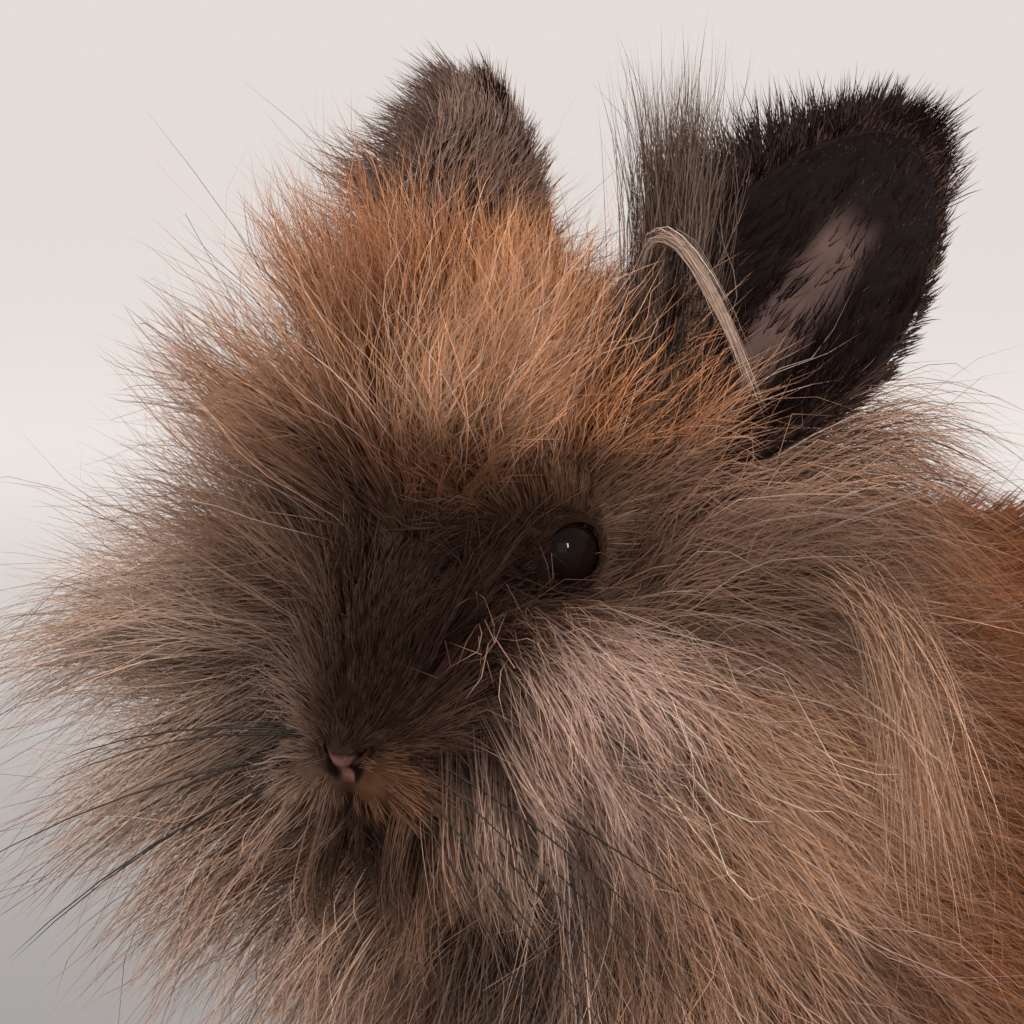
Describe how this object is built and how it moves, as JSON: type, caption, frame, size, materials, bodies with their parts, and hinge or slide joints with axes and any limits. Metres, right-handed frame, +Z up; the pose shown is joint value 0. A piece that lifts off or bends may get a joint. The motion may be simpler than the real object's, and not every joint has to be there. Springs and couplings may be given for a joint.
{
  "type": "lionhead rabbit",
  "caption": "Life-size still model of a sitting lionhead rabbit with a long woolly mane, upright ears and its head turned and tilted.",
  "frame": {"origin": "on the floor, in the flat of the belly, midway between the left and right sides", "axes": "+Z up, -Y the way the body faces, +X towards the rabbit's left"},
  "size_m": [0.2033, 0.316, 0.2455],
  "materials": {
    "coat_brown": "soft woolly fur, brown with a rusty brow and a sooty face",
    "coat_beige": "long woolly mane fur, grey-beige with light tips",
    "coat_rust": "medium-long rusty fur",
    "coat_sooty": "short sooty brown fur",
    "eye_dark": "wet, glossy dark brown",
    "skin_pink": "bare greyish pink skin of the nose and the ear cups",
    "claw_horn": "dull dark horn, for claws and whiskers"
  },
  "bodies": {
    "root": {"head": "coat_brown", "neck": "coat_beige", "torso": "coat_rust", "tail": "coat_rust", "ear_left": "coat_sooty", "ear_right": "coat_sooty", "eye_left": "eye_dark", "eye_right": "eye_dark", "arm_left": "coat_rust", "arm_right": "coat_rust", "paw_left": "coat_sooty", "paw_right": "coat_sooty", "thigh_left": "coat_rust", "thigh_right": "coat_rust", "foot_left": "coat_sooty", "foot_right": "coat_sooty"}
  },
  "joints": []
}
